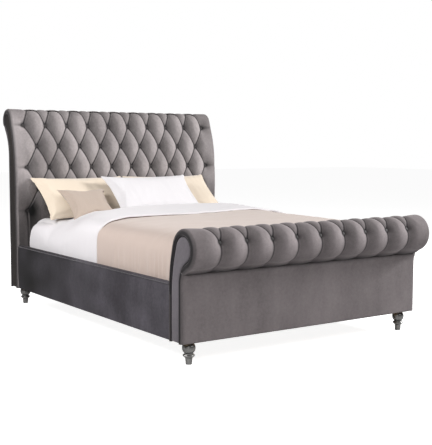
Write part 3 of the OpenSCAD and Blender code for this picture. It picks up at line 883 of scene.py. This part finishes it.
def makeFacing(name, board, side, node):
    u, z = facingLoop(board, facing["inset"])
    deselectAll()
    bpy.ops.mesh.primitive_circle_add(vertices=len(u), fill_type="NGON")
    piece = bpy.context.object
    piece.data.vertices.foreach_set("co", loopToWorld(board, side, facing["back"], u, z).reshape(-1))
    work = openMesh(piece)
    work.faces.ensure_lookup_table()
    face = work.faces[0]
    face.normal_update()
    if face.normal.x * side < 0:
        face.normal_flip()
    outward = Vector((side, 0, 0))
    raised = bmesh.ops.extrude_face_region(work, geom=[face])
    top = [g for g in raised["geom"] if isinstance(g, bmesh.types.BMFace)][0]
    bmesh.ops.translate(work, verts=top.verts, vec=outward * (facing["edge"] - facing["back"]))
    for reach, rise in facing["crown"]:
        bmesh.ops.inset_region(work, faces=[top], thickness=reach, use_even_offset=True)
        bmesh.ops.translate(work, verts=top.verts, vec=outward * rise)
    bmesh.ops.recalc_face_normals(work, faces=work.faces)
    storeMesh(work, piece)
    finishPiece(piece, name, "facingVelvet" if board["way"] < 0 else "shadedHeadFacingVelvet", smoothAngle=60)
    standFor(piece, [node])


def makeTube(name, paths, radius, finish):
    data = bpy.data.curves.new(name, "CURVE")
    data.dimensions = "3D"
    data.bevel_depth = radius
    data.bevel_resolution = 3
    data.use_fill_caps = True
    for path in paths:
        line = data.splines.new("POLY")
        line.points.add(len(path) - 1)
        for point, place in zip(line.points, path):
            point.co = (*place, 1)
    tube = bpy.data.objects.new(name, data)
    bpy.context.scene.collection.objects.link(tube)
    selectOnly(tube)
    bpy.ops.object.convert(target="MESH")
    return finishPiece(bpy.context.object, name, finish)


def makePiping(name, board, node):
    u, z = facingLoop(board, facing["tubeInset"])
    paths = [loopToWorld(board, side, facing["tubeX"], u, z).tolist() for side in (-1, 1)]
    piece = makeTube(name, paths, facing["tubeRadius"], "pipingGrooveShadeVelvet")
    standFor(piece, [node])


for key, label in (("head", "headboard"), ("foot", "footboard")):
    for side, hand in ((-1, "left"), (1, "right")):
        makeFacing(label + "FacingPad" + hand.title(), boards[key], side, label + "_facing_" + hand)
    makePiping(label + "Welt", boards[key], label + "_piping")
print("facings and piping done")

# Side rails
# footPaintedShade and headPaintedShade are painted light and shade along the rail; mottle is random tone in
# the nap
rail = {"roundTop": 0.012, "puff": 0.003, "footPaintedShade": 0.15, "headPaintedShade": -0.65, "mottle": 0.5,
        "rowsAlong": 120, "wave": 0.0022, "tubeInset": 0.0025, "tubeRadius": 0.0032}


def makeRailCover(side, hand):
    node = "side_rail_cover_" + hand
    low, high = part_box(node)
    inner, outer = (low.x, high.x) if side > 0 else (high.x, low.x)
    r = rail["roundTop"]
    out, into, top = abs(outer), abs(inner), high.z - rail["roundTop"]
    path = [(into, low.z), (into, top)]
    path += [(into + r - r * math.cos(a), top + r * math.sin(a)) for a in np.linspace(0.3, math.pi / 2, 4)]
    path += [(out - r + r * math.sin(a), top + r * math.cos(a)) for a in np.linspace(0, math.pi / 2, 6)]
    path += [(out + rail["puff"] * math.sin(math.pi * f), top - f * (top - low.z))
             for f in np.linspace(0, 1, 15)[1:]]
    path += [(out - 0.006, low.z - 0.0005), (into + 0.008, low.z)]
    ys = np.linspace(low.y, high.y, rail["rowsAlong"])
    rows = np.array([[(side * x, y, z) for x, z in path] for y in ys])
    wave = np.array([[noise.noise(Vector((y * 2.2, z * 4, side * 7.0))) for x, z in path] for y in ys])
    rows[:, :, 0] += side * rail["wave"] * wave * (np.abs(rows[:, :, 0]) > out - 0.002)
    piece = placeGrid(rows)
    work = openMesh(piece)
    closeAcross(work, rows.shape[1])
    storeMesh(work, piece)
    finishPiece(piece, "sideRailPad" + hand.title(), "railVelvet", smoothAngle=50)
    points = readPoints(piece)
    # painted shade: darker toward the head end and a little lighter at the foot, plus random mottle in the nap
    lean = rail["footPaintedShade"] + (rail["headPaintedShade"] - rail["footPaintedShade"]) * smoothStep(points[:, 1], -0.5, 0.9)
    storeValue(piece, "lean", lean + rail["mottle"] * softNoise(points * (1, 1, 1.6), 4.5, 31 + side))
    standFor(piece, [node])


for side, hand in ((-1, "left"), (1, "right")):
    makeRailCover(side, hand)
low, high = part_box("side_rail_piping")
railWeltPaths = [[(side * (high.x - rail["tubeInset"]), y, high.z - rail["tubeInset"])
                  for y in np.linspace(low.y, high.y, 40)] for side in (-1, 1)]
railWelt = makeTube("sideRailWelt", railWeltPaths, rail["tubeRadius"], "railPipingVelvet")
standFor(railWelt, ["side_rail_piping"])
print("side rails covered")

# Pillows; a size is the finished width, height and thickness before the pillow leans
pillows = {
    "pillow_back_left": {"size": (0.720, 0.440, 0.126), "lean": 38.7, "finish": "creamCotton",
                         "slot": "beige_cotton", "seed": 3, "sag": 0.002},
    "pillow_back_right": {"size": (0.720, 0.440, 0.126), "lean": 38.7, "finish": "creamCotton",
                          "slot": "beige_cotton", "seed": 11, "sag": 0.004},
    "pillow_front_left": {"size": (0.364, 0.330, 0.090), "lean": 37.0, "finish": "tanCotton",
                          "slot": "tan_cotton", "seed": 19, "sag": 0.000, "shift": (0.006, 0, 0)},
    "pillow_front_middle": {"size": (0.700, 0.420, 0.110), "lean": 40.0, "finish": "whiteCotton",
                            "slot": "white_cotton", "seed": 27, "sag": 0.004, "shift": (0, 0, 0.015)},
}
pillowShape = {"spacing": 0.0125, "pullSide": 0.022, "pullTop": 0.016, "seam": 0.006}
swelling = {"voxel": 0.009, "pressure": 4.0, "cap": 0.02, "frames": 20, "stiffness": 15.0, "shear": 5,
            "bending": 0.3}


def pillowHalf(size, across, up, facingOut, sag):
    w, h, t = size
    u, v = np.meshgrid(np.linspace(-1, 1, across), np.linspace(-1, 1, up))
    x = u * w / 2 * (1 - 2 * pillowShape["pullSide"] / w * (1 - v ** 2))
    y = v * h / 2 * (1 - 2 * pillowShape["pullTop"] / h * (1 - u ** 2))
    y -= sag * (1 - u ** 2) * np.clip(v, 0, 1) ** 2
    plump = ((1 - np.abs(u) ** 2.4) * (1 - np.abs(v) ** 2.2)) ** 0.62
    z = facingOut * (pillowShape["seam"] / 2 + (t - pillowShape["seam"]) / 2 * plump)
    return np.stack([x, y, z], axis=2)


def puffUp(piece):
    # Swells a closed pad as sewn cloth; no point moves further than the cap
    applyModifier(piece, "REMESH", mode="VOXEL", voxel_size=swelling["voxel"])
    start = readPoints(piece)
    cloth = piece.modifiers.new("Swell", "CLOTH")
    cloth.settings.use_pressure = True
    cloth.settings.uniform_pressure_force = swelling["pressure"]
    cloth.settings.effector_weights.gravity = 0
    cloth.settings.tension_stiffness = cloth.settings.compression_stiffness = swelling["stiffness"]
    cloth.settings.shear_stiffness = swelling["shear"]
    cloth.settings.bending_stiffness = swelling["bending"]
    scene = bpy.context.scene
    for step in range(1, swelling["frames"] + 1):
        scene.frame_set(step)
    selectOnly(piece)
    bpy.ops.object.modifier_apply(modifier="Swell")
    delta = readPoints(piece) - start
    length = np.linalg.norm(delta, axis=1, keepdims=True)
    delta *= np.minimum(1, swelling["cap"] / np.maximum(length, 1e-9))
    piece.data.vertices.foreach_set("co", (start + delta).reshape(-1))
    scene.frame_set(1)


def makePillow(node):
    spec = pillows[node]
    w, h, thick = spec["size"]
    across, up = int(w / pillowShape["spacing"]) + 1, int(h / pillowShape["spacing"]) + 1
    front = placeGrid(pillowHalf(spec["size"], across, up, 1, spec["sag"]))
    back = placeGrid(pillowHalf(spec["size"], across, up, -1, spec["sag"]))
    deselectAll()
    front.select_set(True)
    back.select_set(True)
    bpy.context.view_layer.objects.active = front
    bpy.ops.object.join()
    work = openMesh(front)
    bmesh.ops.bridge_loops(work, edges=[e for e in work.edges if e.is_boundary])
    bmesh.ops.recalc_face_normals(work, faces=work.faces)
    storeMesh(work, front)
    puffUp(front)
    applyModifier(front, "SUBSURF", levels=1, render_levels=1)
    points = readPoints(front)
    for axis, length in enumerate(spec["size"]):          # back to the set size
        span = points[:, axis].max() - points[:, axis].min()
        points[:, axis] *= length / span
    ripple = (softNoise(points, 7.0, spec["seed"]) * 0.005
              + softNoise(points * (3, 1, 1), 9.0, spec["seed"] + 5) * 0.0025)
    points[:, 2] += np.sign(points[:, 2]) * ripple * np.clip(np.abs(points[:, 2]) / (thick * 0.3), 0, 1)
    low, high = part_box(node)
    turn = Matrix.Rotation(math.radians(spec["lean"]), 3, "X")
    turned = points @ np.array(turn).T
    middle = np.array([(low.x + high.x) / 2, (low.y + high.y) / 2, (low.z + high.z) / 2])
    turned += middle - (turned.max(axis=0) + turned.min(axis=0)) / 2 + spec.get("shift", (0, 0, 0))
    front.data.vertices.foreach_set("co", turned.reshape(-1))
    title = node.replace("_", " ").title().replace(" ", "")
    finishPiece(front, title[0].lower() + title[1:], spec["finish"])
    standFor(front, [node], body=node)


for node in pillows:
    makePillow(node)
print("pillows made")

# Duvet and throw
bedding = {
    "halfWidth": 0.790,
    "sideStart": 0.430,         # where the covers start to hang straight, just above the rails
    "lowEdge": 0.405,
    "footPower": 6.0,
    "cornerPower": 5.5,         # over the mattress's head corners
    "headPower": 2.8,           # lower is rounder over the shoulders
    "rightPower": 5.0,
    "evenPower": 3.3,
    "footTop": 0.676,
    "middleTop": 0.686,
    "pillowTop": 0.712,
    # across the bed, where the white duvet's edge lies along it
    "foldAcross": (-0.79, -0.66, -0.53, -0.33, 0.0, 0.28, 0.60, 0.74),
    "foldAlong": (-0.088, -0.086, -0.070, -0.085, -0.065, 0.000, 0.045, -0.090),
    "thickness": 0.012,
    "hemShadow": 0.0028,
    "endDrop": 0.072,           # the duvet's thick end rolls down to the mattress in front of the pillows
    "endRoll": 0.045,
    "duvetLift": 0.009,
    "edgeRound": 0.014,
    "headMiddle": 0.470,        # the duvet's end under the pillows
    "headSide": 0.885,          # and beside them, with 40 mm more at the rails
    "headMore": 0.040,
}


def spreadOverCloth(f):
    # Where along the section a share f of the cloth's width lies, as a turn and a hanging share
    turn = np.linspace(0, math.pi / 2, 400)
    power, half, low = bedding["evenPower"], bedding["halfWidth"], bedding["sideStart"]
    curveX = half * np.sin(turn) ** (2 / power)
    curveZ = (bedding["middleTop"] - low) * np.cos(turn) ** (2 / power)
    run = np.concatenate([[0], np.cumsum(np.hypot(np.diff(curveX), np.diff(curveZ)))])
    full = run[-1] + low - bedding["lowEdge"]
    where = np.abs(f) * full
    return np.interp(where, run, turn), np.maximum(where - run[-1], 0) / (full - run[-1])


def beddingSection(f, top, power):
    # f runs from -1 at the left edge to 1 at the right
    turn, hang = spreadOverCloth(f)
    half, low = bedding["halfWidth"], bedding["sideStart"]
    acrossShare = np.sin(turn) ** (2 / bedding["evenPower"])
    upShare = np.cos(turn) ** (2 / bedding["evenPower"])
    grow = (acrossShare ** power + upShare ** power) ** (-1 / power)
    acrossShare = acrossShare * grow
    upShare = upShare * grow
    x = np.sign(f) * half * acrossShare
    z = low + (top - low) * upShare - hang * (low - bedding["lowEdge"])
    nx = acrossShare ** (power - 1) / half
    nz = upShare ** (power - 1) / (top - low)
    size = np.hypot(nx, nz)
    return x, z, np.sign(f) * nx / size, nz / size


def clothWaves(points, seed):
    broad = softNoise(points, 2.6, seed)
    creased = 1 - np.abs(softNoise(points * (1.0, 2.4, 1.0), 3.2, seed + 9)) * 2
    fine = softNoise(points, 14.0, seed + 4)
    return 0.006 * broad + 0.004 * np.clip(creased - 0.55, 0, 1) + 0.0012 * fine


def drape(name, f, start, end, topOf, rows, lift, seed, gather, finish, node, endDrop=0.0):
    fine = np.linspace(0, 0.02, 7)                        # closer rows at both edges
    dense = np.concatenate([fine[:-1], np.linspace(0.02, 0.98, rows), np.linspace(0.98, 1, 7)[1:]])
    grid = np.zeros((len(dense), len(f), 3))
    edge = bedding["edgeRound"]
    for i, share in enumerate(dense):
        y = start + (end - start) * share
        left = bedding["footPower"] + (bedding["headPower"] - bedding["footPower"]) * smoothStep(y, 0.0, 0.45)
        left = left + (bedding["cornerPower"] - bedding["headPower"]) * smoothStep(y, 0.62, 0.82)
        power = left + (bedding["rightPower"] - left) * smoothStep(f, -0.3, 0.5)
        x, z, nx, nz = beddingSection(f, topOf(y) + lift, power)
        push = clothWaves(np.stack([x, y, z], axis=1), seed)
        side = smoothStep(-z, -0.60, -0.44)               # small gathers down the sides
        near = smoothStep(-y, 0.25, 0.95) * gather
        push += side * near * 0.0055 * np.sin(y * 105 + 3 * np.sin(y * 23))
        push += side * gather * 0.0025 * np.sin(y * 61 + 2 * np.sin(y * 17))
        distance = np.minimum(share, 1 - share) * np.abs(end - start)
        under = np.maximum(edge ** 2 - (edge - np.minimum(distance, edge)) ** 2, 0)
        push = push + lift * 0.5 - (edge - np.sqrt(under)) * (distance < edge)
        rolled = np.clip(1 - (1 - share) * np.abs(end - start) / bedding["endRoll"], 0, 1)
        z = z - endDrop * (1 - np.sqrt(1 - rolled ** 2))
        grid[i] = np.stack([x + nx * push, y, z + nz * push], axis=1)
    piece = placeGrid(grid)
    work = openMesh(piece)
    bmesh.ops.recalc_face_normals(work, faces=work.faces)
    if max(work.faces, key=lambda f: f.calc_center_median().z).normal.z < 0:
        bmesh.ops.reverse_faces(work, faces=work.faces)
    storeMesh(work, piece)
    applyModifier(piece, "SOLIDIFY", thickness=bedding["thickness"], offset=-1)
    finishPiece(piece, name, finish, smoothAngle=60)
    standFor(piece, [node], body="bedding")
    return grid[0]


def makeBedding():
    f = np.linspace(-1, 1, 200)

    def topOf(y):
        foot, middle, pillow = bedding["footTop"], bedding["middleTop"], bedding["pillowTop"]
        return (foot + (middle - foot) * smoothStep(y, -0.95, -0.1)
                + (pillow - middle - 0.008) * smoothStep(y, -0.1, 0.35)
                - (0.10 - 0.018 * smoothStep(np.abs(f), 0.66, 0.80)) * smoothStep(y, 0.50, 0.80))

    footEdge = np.full_like(f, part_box("blanket")[0].y + 0.004)
    x = beddingSection(f, bedding["middleTop"], bedding["footPower"])[0]
    fine = np.linspace(bedding["foldAcross"][0], bedding["foldAcross"][-1], 60)
    along = np.interp(fine, bedding["foldAcross"], bedding["foldAlong"])
    along[3:-3] = np.convolve(along, np.ones(7) / 7, mode="valid")
    fold = np.interp(x, fine, along)
    ripple = 0.007 * np.sin(x * 19 + 1) + 0.004 * np.sin(x * 43)
    fold = fold + ripple * (1 - smoothStep(np.abs(f), 0.66, 0.80))
    drape("beigeThrow", f, footEdge, fold + 0.10, topOf, 110, 0.0, 5, 1.0,
          "beigeCotton", "blanket")
    headEdge = bedding["headSide"] + bedding["headMore"] * smoothStep(np.abs(f), 0.72, 0.95)
    swing = smoothStep(np.abs(f), 0.45, 0.72)
    head = bedding["headMiddle"] * (1 - swing) + headEdge * swing
    endDrop = bedding["endDrop"] * (1 - smoothStep(np.abs(f), 0.50, 0.66))
    edgeLine = drape("whiteDuvet", f, fold, head, topOf, 96, bedding["duvetLift"], 41, 0.35,
                     "duvetCotton", "duvet", endDrop)
    # a thin dark tube along the duvet's edge: painted shadow where the edge lies on the throw
    hemShadowLine = [(x, y - 0.002, z + 0.001) for x, y, z in edgeLine[3:-3:2]]
    hemShadow = makeTube("duvetHemShadow", [hemShadowLine], bedding["hemShadow"], "hemShadowCotton")
    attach(hemShadow, "bedding")


mattress = {"cornerRadius": 0.07, "topRadius": 0.10, "steps": 8}


def makeMattress():
    low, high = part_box("mattress")
    deselectAll()
    bpy.ops.mesh.primitive_cube_add(size=1, location=(low + high) / 2, scale=high - low)
    piece = bpy.context.object
    bpy.ops.object.transform_apply(location=True, rotation=True, scale=True)
    middle = (low.z + high.z) / 2
    work = openMesh(piece)
    upright = [e for e in work.edges if abs(e.verts[0].co.z - e.verts[1].co.z) > 0.1]
    bmesh.ops.bevel(work, geom=upright, offset=mattress["cornerRadius"], segments=mattress["steps"],
                    affect="EDGES", profile=0.5)
    topEdges = [e for e in work.edges if abs(e.verts[0].co.z - e.verts[1].co.z) < 0.001
                and e.verts[0].co.z > middle and any(abs(f.normal.z) < 0.5 for f in e.link_faces)
                and any(abs(f.normal.z) > 0.5 for f in e.link_faces)]
    bmesh.ops.bevel(work, geom=topEdges, offset=mattress["topRadius"], segments=mattress["steps"],
                    affect="EDGES", profile=0.5)
    storeMesh(work, piece)
    finishPiece(piece, "mattressTicking", "ticking", smoothAngle=40)
    standFor(piece, ["mattress"], body="bedding")


makeMattress()
makeBedding()
print("bedding laid")

# Finishes of the frame's own parts: the last key found in a node's name counts
finishOf = {
    "foam": "foam", "front_board": "plywood", "back_board": "plywood", "inner_board": "plywood",
    "outer_board": "plywood", "formers": "plywood", "posts": "timber", "cross_rail": "timber",
    "roll_rail": "timber", "bottom_rail": "timber", "facing": "facingVelvet", "piping": "pipingGrooveShadeVelvet",
    "foot_": "footMetal", "side_rail_board": "timber", "side_rail_cover": "railVelvet",
    "slat": "timber", "bracket": "zincSteel", "bolt": "zincSteel", "centre": "timber",
    "hanger": "zincSteel", "glide_pad": "glidePlastic", "glide_stem": "zincSteel",
    "headboard_buttons": "buttonVelvet", "footboard_buttons": "buttonMetal",
    "mattress": "ticking", "blanket": "beigeCotton", "duvet": "whiteCotton",
    "pillow_back": "creamCotton", "pillow_front_left": "tanCotton", "pillow_front_middle": "whiteCotton",
}


def dressCadNodes():
    for node, piece in cadNodes.items():
        for key, finish in finishOf.items():
            if key in node:
                piece.data.materials.clear()
                piece.data.materials.append(finishes[finish])


dressCadNodes()
